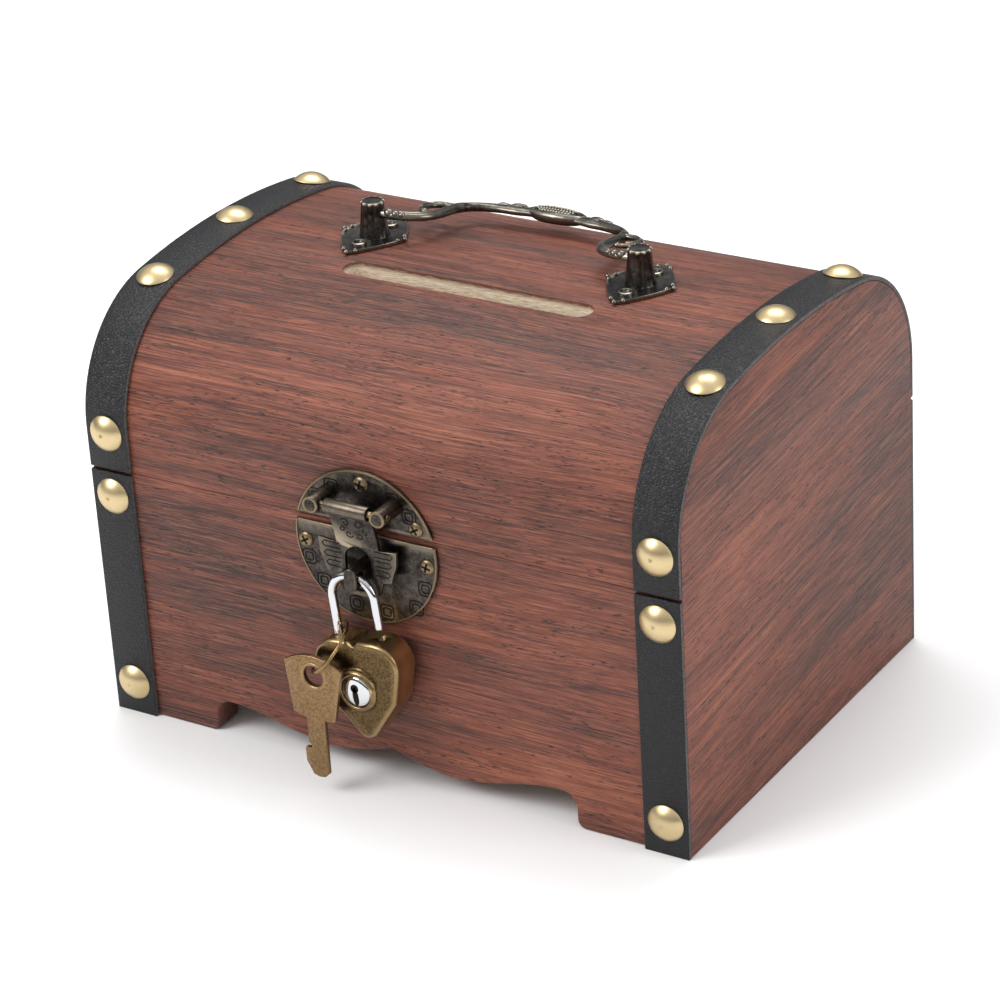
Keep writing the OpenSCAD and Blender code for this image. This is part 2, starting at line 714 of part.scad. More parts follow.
module handle_bail() {
    last = len(bail_line) - 1;
    color(BRONZE) at_box() translate([0, post_back, pivot_z]) rotate([-bail_tilt, 0, 0]) {
        translate([0, 0, -bail_t / 2]) linear_extrude(bail_t) {
            polygon(concat([for (i = [0:last]) line_side(bail_line, i, bail_w / 2)],
                [for (i = [last:-1:0]) line_side(bail_line, i, -bail_w / 2)]));
            translate([0, bail_reach]) scale([1, medallion_w / medallion_l]) circle(d = medallion_l, $fn = 48);
        }
        for (s = [-1, 1]) translate([s * (bail_half + pivot_depth / 2 - 0.1), 0, 0])
            bar_x(pivot_d, pivot_depth + 0.2, $fn = 32);
    }
}

// ---- padlock ----

// Places the padlock's own frame: it hangs by its bow in the staple's eye.
module at_padlock() {
    at_box() translate([lock_x + bow_shift, eye_y, eye_z - leg_x + 0.1])
        rotate([0, -pad_tilt, 0]) translate([0, 0, -bow_up]) children();
}
module padlock_shackle() {
    color(CHROME) at_padlock() difference() {
        union() {
            translate([-leg_x, 0, -long_leg]) cylinder(d = wire_d, h = long_leg + bow_up, $fn = 32);
            translate([leg_x, 0, short_gap + 0.4]) cylinder(d = wire_d, h = bow_up - short_gap - 0.4, $fn = 32);
            translate([leg_x, 0, short_gap]) cylinder(d1 = wire_d - 0.6, d2 = wire_d, h = 0.4, $fn = 32);
            translate([0, 0, bow_up]) rotate([90, 0, 0]) rotate_extrude(angle = 180, $fn = 96)
                translate([leg_x, 0]) circle(d = wire_d, $fn = 32);
        }
        translate([0, 0, close_travel - plug_drop]) rotate([90, 0, 0])
            cylinder(r = latch_reach + 0.15, h = 2 * wire_d, center = true, $fn = 64);
    }
}
// The case's heart-shaped outline in (x, z).
module heart() {
    difference() {
        hull() {
            for (s = [-1, 1]) {
                translate([s * lobe_off, -lobe_down]) circle(lobe_r, $fn = 32);
                translate([s * 6.2, -case_h * 0.52]) circle(2.6, $fn = 32);
            }
            translate([0, -case_h + 2.8]) circle(2.8, $fn = 32);
        }
        translate([0, lobe_r - lobe_down + 0.6]) rotate(45) square(2.4, center = true);
    }
}
// The round room behind the plug in which the latch turns.
module latch_pocket() {
    translate([0, -plug_back - run_gap, -plug_drop]) rotate([-90, 0, 0])
        cylinder(r = pocket_r, h = plug_back + run_gap + case_half - cover_t, $fn = 64);
}
module padlock_front() {
    color(ANTIQUE) at_padlock() difference() {
        union() {
            to_front(case_half - cover_t, -case_half) heart();
            translate([0, -case_half, -plug_drop]) rotate([90, 0, 0]) cylinder(d = plug_d + 2.2, h = boss_h);
        }
        latch_pocket();
        translate([0, -plug_back, -plug_drop]) rotate([90, 0, 0]) cylinder(d = plug_d + 2 * run_gap, h = case_t);
        translate([-leg_x, 0, -long_leg - close_travel - pass_gap])
            cylinder(d = leg_hole_d, h = long_leg + close_travel + 6, $fn = 32);
        translate([leg_x, 0, short_gap - close_travel - pass_gap]) cylinder(d = leg_hole_d, h = 10, $fn = 32);
    }
}
module padlock_cover() {
    color(ANTIQUE) at_padlock() to_front(case_half, case_half - cover_t) heart();
}
module padlock_plug() {
    color(CHROME) at_padlock() translate([0, 0, -plug_drop]) {
        difference() {
            translate([0, -plug_back, 0]) rotate([90, 0, 0]) cylinder(d = plug_d, h = plug_front - plug_back);
            to_front(-plug_front + 3, -plug_front - 1) {
                translate([0, 1.2]) circle(d = 1.7, $fn = 24);
                translate([-0.55, -2.6]) square([1.1, 3.8]);
            }
        }
        translate([0, latch_t / 2 - plug_back, 0]) cube([latch_peg, latch_t + 0.6, latch_peg], center = true);
    }
}
// A tongue on the plug's square peg; turned by 90 degrees it stands in the long leg's notch.
module padlock_latch() {
    color(BRASS) at_padlock() translate([0, 0, -plug_drop]) to_front(latch_t - plug_back, -plug_back) difference() {
        intersection() {
            union() {
                circle(latch_w);
                translate([-latch_w / 2, -latch_reach - 1]) square([latch_w, latch_reach + 1]);
            }
            circle(latch_reach, $fn = 96);
        }
        square(latch_peg + 2 * run_gap, center = true);
    }
}

// ---- ring and key ----

module key_ring() {
    color(ANTIQUE) at_padlock() translate(ring_off) rotate([ring_tilt, 0, ring_turn])
        rotate_extrude($fn = 64) translate([ring_r, 0]) circle(d = ring_wire, $fn = 16);
}
// The key hangs upright, so its outline isn't tilted with the padlock.
module padlock_key() {
    head = key_head_w / 2;
    color(ANTIQUE) at_padlock() translate(key_off) rotate([0, pad_tilt, 0]) translate(key_hang)
        to_front(key_t / 2, -key_t / 2) difference() {
            union() {
                polygon(concat([[-head + 1.4, -9.6], [-2.6, -10.4], [-2.6, -16.2], [-1.9, -17], [-1.9, -17.6],
                    [-3.6, -17.8], [-3.6, -21], [-2, -24], [-0.6, -key_l], [0.9, -key_l + 0.2], [1.9, -23.2],
                    [1.9, -10.4], [head - 2.6, -10], [head, 2.6]],
                    [for (i = [1:7]) let (x = head - i * key_head_w / 8) [x, 2.6 + 2.2 * (1 - pow(x / head, 2))]],
                    [[-head, 2.6]]));
            }
            circle(d = key_hole_d, $fn = 48);
        }
}

front_panel();
back_panel();
left_end_panel();
right_end_panel();
floor_panel();
strap_front_left();
strap_front_right();
strap_back_left();
strap_back_right();
box_studs();
lock_plate();
staple();
lock_plate_screws();
hinge_left_box_leaf();
hinge_right_box_leaf();
hinge_left_pin();
hinge_right_pin();
hinge_box_screws();
lid_board();
lid_left_end();
lid_right_end();
lid_strap_left();
lid_strap_right();
lid_studs();
catch_plate();
hasp_posts();
hasp_pin();
catch_plate_screws();
hinge_left_lid_leaf();
hinge_right_lid_leaf();
hinge_lid_screws();
handle_post_left();
handle_post_right();
handle_screws();
handle_bail();
hasp_flap();
padlock_shackle();
padlock_front();
padlock_cover();
padlock_plug();
padlock_latch();
key_ring();
padlock_key();
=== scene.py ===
"""The looks of a wooden money box: stained wood, leather-look straps, brass studs, a cast
handle, a stamped hasp and a small padlock with its key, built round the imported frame."""

import json
import math

import bmesh
import bpy
from mathutils import Matrix, Vector
from mathutils.bvhtree import BVHTree

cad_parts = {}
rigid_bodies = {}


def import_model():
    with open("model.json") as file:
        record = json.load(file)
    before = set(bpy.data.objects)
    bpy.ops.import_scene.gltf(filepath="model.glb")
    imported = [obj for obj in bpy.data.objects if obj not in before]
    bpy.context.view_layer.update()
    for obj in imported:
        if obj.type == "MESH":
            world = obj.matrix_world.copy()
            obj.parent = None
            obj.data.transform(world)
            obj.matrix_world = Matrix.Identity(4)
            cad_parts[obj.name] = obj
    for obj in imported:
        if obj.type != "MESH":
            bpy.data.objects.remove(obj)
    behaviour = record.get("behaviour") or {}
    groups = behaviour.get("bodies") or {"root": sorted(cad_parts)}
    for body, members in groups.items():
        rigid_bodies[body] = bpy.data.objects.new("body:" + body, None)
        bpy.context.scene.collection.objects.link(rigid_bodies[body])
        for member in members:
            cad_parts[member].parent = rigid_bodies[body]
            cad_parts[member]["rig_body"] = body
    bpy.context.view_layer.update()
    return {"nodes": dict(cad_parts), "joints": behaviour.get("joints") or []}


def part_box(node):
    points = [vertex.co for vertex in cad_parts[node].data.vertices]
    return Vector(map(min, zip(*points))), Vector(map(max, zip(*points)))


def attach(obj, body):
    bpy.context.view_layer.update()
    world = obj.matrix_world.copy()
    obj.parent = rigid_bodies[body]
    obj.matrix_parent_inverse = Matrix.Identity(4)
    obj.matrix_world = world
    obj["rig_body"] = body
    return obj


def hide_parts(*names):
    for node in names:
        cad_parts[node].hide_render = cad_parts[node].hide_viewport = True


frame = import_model()

MM = 0.001
RIGHT, BACK, FRONT, UP = (Vector(v) for v in ((1, 0, 0), (0, 1, 0), (0, -1, 0), (0, 0, 1)))
JOINTS = {j["name"]: j for j in frame["joints"]}

# ---- places, from the frame ----

end_low, end_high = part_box("left_end_panel")
MID_Y = (end_low.y + end_high.y) / 2
SEAM_Z = end_high.z
CROWN_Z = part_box("lid_board")[1].z
LOCK_X = sum(v.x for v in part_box("staple")) / 2
PIVOT = Vector(JOINTS["bail_swing"]["pos_m"])
PLUG = Vector(JOINTS["plug_turn"]["pos_m"])
RING = Vector(JOINTS["ring_turn"]["pos_m"])
RING_AXIS = Vector(JOINTS["ring_turn"]["axis"])

# ---- sizes that the part's source also uses ----

CROWN_R = 186 * MM  # radius of the lid's crown
SLOT_Y = MID_Y - 11.2 * MM  # middle of the coin slot
SLOT_L = 61 * MM
SLOT_W = 6 * MM
BAIL_REACH = 22.4 * MM  # from the bail's pivot to the middle of its grip
BAIL_DIP = math.radians(-10)  # the bail lies back this far below level
CASE_T = 7 * MM  # thickness of the padlock's case
LEG_X = 5.3 * MM  # from the middle of the padlock to each leg of the shackle
WIRE_R = 0.95 * MM  # half the shackle's wire
PLUG_DROP = 9.4 * MM  # the plug's axis below the padlock's own origin
CLOSE_TRAVEL = 6 * MM  # the case moves this far up the legs to shut
LATCH_ROOM = 5.1 * MM  # radius of the notch for the latch, round the plug's axis

# The visible straps stop this far from the lid's seam.
SEAM_GAP = 0.35 * MM

# The padlock's own frame: x across, y to the back, z along the shackle's legs.
LEGS = Vector(JOINTS["lock_close"]["axis"])
ACROSS = BACK.cross(LEGS)
pad_origin = PLUG + LEGS * PLUG_DROP
PAD = Matrix.Translation(pad_origin) @ Matrix((ACROSS, BACK, LEGS)).transposed().to_4x4()


# ---- materials ----

def linear(hex_colour):
    """A colour given as sRGB hex, as Blender's linear RGBA."""
    parts = [int(hex_colour[i:i + 2], 16) / 255 for i in (1, 3, 5)]
    return [c / 12.92 if c <= 0.04045 else ((c + 0.055) / 1.055) ** 2.4 for c in parts] + [1]


def add(tree, kind, inputs=None, **settings):
    """A node with its settings, and its inputs as values or as links from other nodes' sockets."""
    node = tree.nodes.new(kind)
    for name, value in settings.items():
        setattr(node, name, value)
    for name, value in (inputs or {}).items():
        if isinstance(value, bpy.types.NodeSocket):
            tree.links.new(value, node.inputs[name])
        else:
            node.inputs[name].default_value = value
    return node


def ramp(tree, value, stops):
    """A colour ramp through (position, sRGB hex) stops."""
    node = add(tree, "ShaderNodeValToRGB", {"Fac": value})
    elements = node.color_ramp.elements
    while len(elements) < len(stops):
        elements.new(1)
    for element, (place, colour) in zip(elements, stops):
        element.position = place
        element.color = linear(colour)
    return node.outputs["Color"]


def mix(tree, amount, one, other, blend="MIX"):
    """Two colours mixed by a value; a colour is a socket or an sRGB hex."""
    one, other = (linear(c) if isinstance(c, str) else c for c in (one, other))
    inputs = {0: amount, 6: one, 7: other}
    return add(tree, "ShaderNodeMix", inputs, data_type="RGBA", blend_type=blend).outputs[2]


def between(tree, value, low, high):
    """A value stretched so that low becomes 0 and high becomes 1, held there."""
    inputs = {"Value": value, "From Min": low, "From Max": high}
    return add(tree, "ShaderNodeMapRange", inputs).outputs[0]


def new_material(name, roughness, metallic=0.0):
    """A material with its tree, its shader and the object coordinates."""
    material = bpy.data.materials.new(name)
    material.use_nodes = True
    tree = material.node_tree
    shader = tree.nodes["Principled BSDF"]
    shader.inputs["Roughness"].default_value = roughness
    shader.inputs["Metallic"].default_value = metallic
    coords = add(tree, "ShaderNodeTexCoord").outputs["Object"]
    return material, tree, shader, coords


def in_grains(tree, coords, size_mm):
    """Coordinates that count in grains: one size in millimetres, or one along each axis."""
    sizes = size_mm if isinstance(size_mm, tuple) else (size_mm,) * 3
    scale = [1 / (size * MM) for size in sizes]
    return add(tree, "ShaderNodeMapping", {"Vector": coords, "Scale": scale}).outputs[0]


def speckle(tree, coords, size_mm, detail=2.0, rough=0.5):
    """Noise whose grains are about size_mm across: one size, or one along each axis."""
    place = in_grains(tree, coords, size_mm)
    inputs = {"Vector": place, "Scale": 1.0, "Detail": detail, "Roughness": rough}
    return add(tree, "ShaderNodeTexNoise", inputs).outputs["Fac"]


def raise_surface(tree, shader, height, depth_mm, strength=1.0):
    """Bump whose full height is depth_mm."""
    inputs = {"Height": height, "Strength": strength, "Distance": depth_mm * MM}
    tree.links.new(add(tree, "ShaderNodeBump", inputs).outputs[0], shader.inputs["Normal"])


def stained_wood(name, turn=(0, 0, 0), shift=(0, 0, 0)):
    """Paulownia board, sanded and stained red-brown under thin varnish: long fine fibres along
    the board, dark pores drawn out into dashes, cloudy dark bands and a few orange streaks."""
    material, tree, shader, coords = new_material(name, 0.55)
    board = {"Vector": coords, "Rotation": turn, "Location": shift}
    coords = add(tree, "ShaderNodeMapping", board).outputs[0]
    warp = {0: (0, 3.5 * MM, 3.5 * MM), "Scale": speckle(tree, coords, (70, 25, 25), 1)}
    bend = add(tree, "ShaderNodeVectorMath", warp, operation="SCALE").outputs[0]
    coords = add(tree, "ShaderNodeVectorMath", {0: coords, 1: bend}, operation="ADD").outputs[0]
    clouds = speckle(tree, coords, (80, 16, 16), 2)
    bands = speckle(tree, coords, (240, 2.4, 2.4), 5, 0.65)
    fibres = speckle(tree, coords, (15, 0.3, 0.3), 6, 0.75)
    dashes = speckle(tree, coords, (2.4, 0.27, 0.27), 2)
    streaks = speckle(tree, coords, (16, 0.8, 0.8), 4)
    patches = speckle(tree, coords, (30, 2.2, 2.2), 2)
    tone = add(tree, "ShaderNodeMath", {0: clouds, 1: bands}, operation="ADD").outputs[0]
    colour = ramp(tree, between(tree, tone, 0.66, 1.34), [
        (0.0, "#351f1a"), (0.3, "#4c2820"), (0.55, "#663426"), (0.8, "#7b412f"), (1.0, "#8e5039")])
    pale = mix(tree, 1.0, colour, "#86543f", "SCREEN")
    colour = mix(tree, between(tree, fibres, 0.48, 0.70), colour, pale)
    deep = mix(tree, 1.0, colour, "#8e6a60", "MULTIPLY")
    colour = mix(tree, between(tree, fibres, 0.50, 0.30), colour, deep)
    glow = {0: between(tree, streaks, 0.56, 0.7), 1: 0.55}
    glow = add(tree, "ShaderNodeMath", glow, operation="MULTIPLY").outputs[0]
    colour = mix(tree, glow, colour, "#8a4527")
    rows = {0: between(tree, dashes, 0.40, 0.33), 1: between(tree, patches, 0.40, 0.52)}
    pores = add(tree, "ShaderNodeMath", rows, operation="MULTIPLY").outputs[0]
    tree.links.new(mix(tree, pores, colour, "#170c0a"), shader.inputs["Base Color"])
    raise_surface(tree, shader, mix(tree, pores, fibres, "#000000"), 0.14, 0.9)
    return material


def raw_wood():
    """The same wood cut and left bare: pale cream end fibres with rough sawn fuzz, and a little
    stain run over the slot's upper edge."""
    material, tree, shader, coords = new_material("bare paulownia", 0.85)
    fuzz = speckle(tree, coords, (2.4, 0.35, 0.35), 4, 0.7)
    bare = ramp(tree, fuzz, [(0.3, "#c4a684"), (0.5, "#ecd9bd"), (0.7, "#fdf6e8")])
    height = add(tree, "ShaderNodeSeparateXYZ", {"Vector": coords}).outputs["Z"]
    ragged = {0: fuzz, 1: 2.4 * MM, 2: height}
    ragged = add(tree, "ShaderNodeMath", ragged, operation="MULTIPLY_ADD").outputs[0]
    stained = between(tree, ragged, CROWN_Z - 0.5 * MM, CROWN_Z + 0.6 * MM)
    tree.links.new(mix(tree, stained, bare, "#6f4230"), shader.inputs["Base Color"])
    raise_surface(tree, shader, fuzz, 0.3)
    return material


def leatherette():
    """PVC-coated leather board, embossed with a fine pebble: near black, with painted shade darkening the
    grooves between the pebbles, and a soft sheen that catches the pebbles where the strap bends."""
    material, tree, shader, coords = new_material("black leatherette", 0.45)
    place = in_grains(tree, coords, (0.85, 0.6, 0.6))
    shaken = add(tree, "ShaderNodeTexNoise", {"Vector": place, "Scale": 0.8, "Detail": 1.0})
    place = mix(tree, 0.55, place, shaken.outputs["Color"], "ADD")
    cells = {"Vector": place, "Scale": 1.0}
    cells = add(tree, "ShaderNodeTexVoronoi", cells, feature="DISTANCE_TO_EDGE")
    pebbles = between(tree, cells.outputs["Distance"], 0.0, 0.3)
    # painted shade: the grooves between the pebbles are coloured darker than their tops
    tree.links.new(mix(tree, pebbles, "#0a0a0d", "#16161a"), shader.inputs["Base Color"])
    shader.inputs["Specular IOR Level"].default_value = 0.4
    raise_surface(tree, shader, pebbles, 0.1, 0.9)
    return material


def cut_edge():
    """The strap's cut edge: matt grey fibres of its backing."""
    material, tree, shader, coords = new_material("cut backing", 0.9)
    fibres = speckle(tree, coords, 0.3, 3)
    colour = ramp(tree, fibres, [(0.3, "#2c2a2b"), (0.7, "#6d6967")])
    tree.links.new(colour, shader.inputs["Base Color"])
    return material


def plated(name, colours, roughness, pits, worn, wear=(0.52, 0.58), grime_mm=1.6):
    """Plated metal with patina: dull in its hollows and mottled by grime, and rubbed bright
    along its edges. colours are the grime's and the plating's, worn the rubbed metal's. pits
    are the cast pits' size and depth in millimetres, wear the pointiness where it starts and
    is full."""
    pit_mm, pit_depth = pits
    material, tree, shader, coords = new_material(name, roughness, 1.0)
    grime = speckle(tree, coords, grime_mm, 4, 0.6)
    fine = speckle(tree, coords, pit_mm, 2)
    colour = mix(tree, between(tree, grime, 0.32, 0.62), colours[0], colours[1])
    colour = mix(tree, between(tree, fine, 0.42, 0.30), colour, colours[0])
    edges = add(tree, "ShaderNodeNewGeometry").outputs["Pointiness"]
    colour = mix(tree, between(tree, edges, *wear), colour, worn)
    tree.links.new(colour, shader.inputs["Base Color"])
    if pit_depth:
        raise_surface(tree, shader, fine, pit_depth, 0.6)
    return material


def polished(name, colour, roughness):
    """Bright metal: polished or satin, with the faint uneven gloss of handling, in smears about
    3 mm across."""
    material, tree, shader, coords = new_material(name, roughness, 1.0)
    shader.inputs["Base Color"].default_value = linear(colour)
    smear = speckle(tree, coords, 3, 3)
    gloss = {"Value": smear, "To Min": roughness * 0.8, "To Max": roughness * 1.25}
    gloss = add(tree, "ShaderNodeMapRange", gloss).outputs[0]
    tree.links.new(gloss, shader.inputs["Roughness"])
    return material


LONG_WOOD = stained_wood("stained paulownia")
LID_WOOD = stained_wood("stained paulownia of the lid", shift=(0.05, 0.013, 0.02))
END_TURN = (math.radians(-5), 0, math.radians(-90))
END_WOOD = stained_wood("stained paulownia of the ends", END_TURN, (0.3, 0.1, 0))
RAW_WOOD = raw_wood()
LEATHER = leatherette()
CUT_EDGE = cut_edge()
STUD_BRASS = polished("satin brass plating", "#d2bd92", 0.36)
PIN_BRASS = polished("rubbed brass", "#86745a", 0.36)
CHROME = polished("chrome plating", "#cfd0d3", 0.06)
STEEL_COLOURS = ("#262221", "#544e49")
# Near-black colours: patina in the stamped lines, and painted shade in the keyway and in the screws' cross
# slots.
PATINA_AND_SHADE_COLOURS = ("#0c0b0b", "#1c1a18")
CASTING_COLOURS = ("#232121", "#5a5651")
PAD_COLOURS = ("#3c3020", "#6b573a")
KEY_COLOURS = ("#6d543c", "#957a56")
GUNMETAL = plated("antique plated steel", STEEL_COLOURS, 0.36, (0.5, 0.012), "#a3957f", (0.53, 0.6))
PATINA_AND_PAINTED_SHADE = plated("patina in stamped lines and painted shade in slots", PATINA_AND_SHADE_COLOURS, 0.6, (0.4, 0), "#2a2622")
CASTING = plated("dark zinc casting", CASTING_COLOURS, 0.3, (0.55, 0.06), "#b3ac9c", (0.52, 0.62))
PAD_BRASS = plated("antique brass", PAD_COLOURS, 0.3, (0.3, 0.04), "#c4a87a", (0.51, 0.56), 0.5)
KEY_BRASS = plated("tumbled brass", KEY_COLOURS, 0.4, (0.32, 0.1), "#bb9c78", (0.53, 0.6), 0.5)
RING_BRASS = polished("brass wire", "#a0875c", 0.25)


# ---- making and placing pieces ----

def place_piece(name, bm, materials, body, nodes, sharp):
    """Turns a bmesh into a piece that rides on a body, and hides the CAD nodes it stands for.
    Edges that turn by more than sharp degrees stay crisp."""
    bmesh.ops.recalc_face_normals(bm, faces=bm.faces)
    mesh = bpy.data.meshes.new(name)
    bm.to_mesh(mesh)
    bm.free()
    for material in materials:
        mesh.materials.append(material)
    mesh.shade_smooth()
    mesh.set_sharp_from_angle(angle=math.radians(sharp))
    piece = bpy.data.objects.new(name, mesh)
    bpy.context.scene.collection.objects.link(piece)
    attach(piece, body)
    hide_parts(*nodes)


def cad_copy(node):
    """A CAD node's shape as a bmesh of whole flat faces."""
    bm = bmesh.new()
    bm.from_mesh(frame["nodes"][node].data)
    bmesh.ops.remove_doubles(bm, verts=bm.verts, dist=0.002 * MM)
    bmesh.ops.dissolve_limit(bm, angle_limit=math.radians(0.2), verts=bm.verts, edges=bm.edges)
    return bm


def round_edges(bm, edges, radius_mm, segments, clamp=False):
    """Bevels edges to a radius."""
    bmesh.ops.bevel(bm, geom=edges, offset=radius_mm * MM, affect="EDGES", segments=segments,
                    profile=0.5, material=-1, clamp_overlap=clamp)


def soften(bm, radius_mm, segments=2, sharp=35, where=lambda edge: True):
    """Rounds the edges that turn by more than sharp degrees."""
    edges = [e for e in bm.edges if len(e.link_faces) == 2
             and e.calc_face_angle(0) > math.radians(sharp) and where(e)]
    round_edges(bm, edges, radius_mm, segments)


def paint(bm, index, choose=lambda face: True):
    """Gives the faces that choose accepts another of the piece's materials."""
    for face in bm.faces:
        if choose(face):
            face.material_index = index


def stand_in(node, bm, materials, sharp=32):
    """Places a bmesh as the piece that stands for one CAD node, with its body."""
    body = frame["nodes"][node]["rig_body"]
    place_piece(node + "_finished", bm, materials, body, [node], sharp)


def softened(node, materials, radius_mm, segments=2, choose=None, change=None,
             where=lambda edge: True):
    """A CAD node's shape with rounded edges, in its place."""
    bm = cad_copy(node)
    if change:
        change(bm)
    soften(bm, radius_mm, segments, where=where)
    if choose:
        paint(bm, 1, choose)
    stand_in(node, bm, materials)


def carry(node, material):
    """Gives a CAD node that stays as it is its finish."""
    mesh = frame["nodes"][node].data
    mesh.materials.clear()
    mesh.materials.append(material)


def add_part(bm, part, matrix):
    """Moves a part and joins it to a piece's bmesh."""
    bmesh.ops.transform(part, matrix=matrix, verts=part.verts)
    spare = bpy.data.meshes.new("part")
    part.to_mesh(spare)
    part.free()
    bm.from_mesh(spare)
    bpy.data.meshes.remove(spare)


def bead(bm, place, radius, flat=1.0, rings=8):
    """A small cast ball, or a button where it is flattened."""
    spot = Matrix.Translation(place) @ Matrix.Diagonal((1, 1, flat, 1))
    bmesh.ops.create_uvsphere(bm, u_segments=2 * rings, v_segments=rings, radius=radius, matrix=spot)


def ring_edges(verts):
    """The edges of a new ring of vertices, in the same order each run."""
    return list(dict.fromkeys(e for v in verts for e in v.link_edges))


def sweep(bm, line, half_width, half_height, up, closed=False, sides=16, index=0):
    """A bar of oval section along a line of points. The two half sizes are numbers, or
    functions of the share of the way along. up is the direction of the section's height."""
    count = len(line)
    first, last_ring = None, None
    for i, point in enumerate(line):
        before = line[i - 1] if i or closed else line[i]
        after = line[(i + 1) % count] if i + 1 < count or closed else line[i]
        ahead = (after - before).normalized()
        side = ahead.cross(up).normalized()
        rise = side.cross(ahead)
        share = i / (count - 1)
        wide = half_width(share) if callable(half_width) else half_width
        high = half_height(share) if callable(half_height) else half_height
        turn = Matrix((side * wide, rise * high, ahead)).transposed().to_4x4()
        made = bmesh.ops.create_circle(bm, cap_ends=False, radius=1, segments=sides,
                                       matrix=Matrix.Translation(point) @ turn)["verts"]
        edges = ring_edges(made)
        if last_ring:
            for face in bmesh.ops.bridge_loops(bm, edges=last_ring + edges)["faces"]:
                face.material_index = index
        first = first or edges
        last_ring = edges
    if closed:
        for face in bmesh.ops.bridge_loops(bm, edges=last_ring + first)["faces"]:
            face.material_index = index
    else:
        for ring in (first, last_ring):
            bmesh.ops.edgeloop_fill(bm, edges=ring, mat_nr=index)


def lathe(bm, profile, matrix, steps=48):
    """Spins (radius, height) points in millimetres round z, and closes the ends on the axis."""
    part = bmesh.new()
    verts = [part.verts.new((r * MM, 0, z * MM)) for r, z in profile]
    edges = [part.edges.new(pair) for pair in zip(verts, verts[1:])]
    bmesh.ops.spin(part, geom=verts + edges, axis=(0, 0, 1), cent=(0, 0, 0), angle=math.tau,
                   steps=steps, use_merge=True)
    bmesh.ops.remove_doubles(part, verts=part.verts, dist=0.001 * MM)
    add_part(bm, part, matrix)


def arc_points(centre, radius, start, end, count, across=RIGHT, along=UP):
    """Points on an arc in the plane of two directions, from and to angles in degrees."""
    angles = [math.radians(start + (end - start) * i / (count - 1)) for i in range(count)]
    return [centre + across * (radius * math.cos(a)) + along * (radius * math.sin(a)) for a in angles]


def raised_ring(bm, centre, radius, half_width, half_height, index=0):
    """A raised ring on a front face."""
    line = arc_points(centre, radius, 0, 352.5, 48)
    sweep(bm, line, half_width, half_height, FRONT, True, 8, index)


# ---- wood ----

def in_slot(face):
    """Is the face one of the coin slot's sawn walls?"""
    middle = face.calc_center_median()
    margin = 0.1 * MM
    along = abs(middle.x) < SLOT_L / 2 + margin
    across = abs(middle.y - SLOT_Y) < SLOT_W / 2 + margin
    return along and across and abs(face.normal.z) < 0.6 and middle.z > CROWN_Z - 20 * MM


def under_seam(edge):
    return max(v.co.z for v in edge.verts) < SEAM_Z - MM


def over_seam(edge):
    return min(v.co.z for v in edge.verts) > SEAM_Z + MM


def wooden_boards():
    """Boards with sanded edges; those that meet at the seam stay crisp."""
    for node in ("front_panel", "back_panel"):
        softened(node, [LONG_WOOD], 0.5, 3, where=under_seam)
    for node in ("left_end_panel", "right_end_panel"):
        softened(node, [END_WOOD], 0.3, where=under_seam)
    softened("lid_board", [LID_WOOD, RAW_WOOD], 0.25, choose=in_slot)
    for node in ("lid_left_end", "lid_right_end"):
        softened(node, [END_WOOD], 0.25, where=over_seam)
    carry("floor_panel", RAW_WOOD)


# ---- straps and studs ----

def on_cut_edge(face):
    """Is the face on one of the strap's long cut edges?"""
    return abs(face.normal.x) > 0.9


def trim_at_seam(bm):
    """Leaves the lid strap's ends a little short of the seam."""
    everything = bm.verts[:] + bm.edges[:] + bm.faces[:]
    cut = bmesh.ops.bisect_plane(bm, geom=everything, clear_inner=True,
                                 plane_co=(0, 0, SEAM_Z + SEAM_GAP), plane_no=UP)
    rim = [g for g in cut["geom_cut"] if isinstance(g, bmesh.types.BMEdge)]
    bmesh.ops.holes_fill(bm, edges=rim)


def box_strap(node):
    """A flat strip down the box's front or back, stopping a little short of the seam."""
    low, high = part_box(node)
    high.z -= SEAM_GAP
    bm = bmesh.new()
    strip = Matrix.Translation((low + high) / 2) @ Matrix.Diagonal((*(high - low), 1))
    bmesh.ops.create_cube(bm, size=1, matrix=strip)
    soften(bm, 0.22, 3)
    paint(bm, 1, on_cut_edge)
    stand_in(node, bm, [LEATHER, CUT_EDGE])


def straps_and_studs():
    for node in frame["nodes"]:
        if node.startswith("strap"):
            box_strap(node)
        elif node.startswith("lid_strap"):
            softened(node, [LEATHER, CUT_EDGE], 0.22, choose=on_cut_edge, change=trim_at_seam)
    for node in ("box_studs", "lid_studs"):
        softened(node, [STUD_BRASS], 0.3, 3)


# ---- the stamped lock ----

def square_mark(bm, x, z, front_y):
    """A stamped mark in dark lines 0.34 mm wide: a square of about 3 mm with blunt corners, and
    a smaller one in it."""
    for half in (1.5, 1.5 * 0.55):
        line = []
        for corner in range(4):
            for bend in (-18, 0, 18):
                a = math.radians(corner * 90 + 45 + bend)
                reach = half * (1.32 if bend == 0 else 1.22) * MM
                line.append(Vector((x + reach * math.cos(a), front_y, z + reach * math.sin(a))))
        sweep(bm, line, 0.17 * MM, 0.1 * MM, FRONT, True, 6, 2)


def rim_wire(bm, node, front_y, disc_z, radius):
    """The bright rolled edge round the arc of a lock plate."""
    low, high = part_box(node)
    upper = low.z > SEAM_Z
    cut = (low.z if upper else high.z) - disc_z
    half = math.degrees(math.acos(cut / radius))
    span = (90 - half, 90 + half) if upper else (90 + half, 450 - half)
    line = arc_points(Vector((LOCK_X, front_y, disc_z)), radius, *span, 49)
    sweep(bm, line, 0.2 * MM, 0.18 * MM, FRONT, sides=8, index=1)


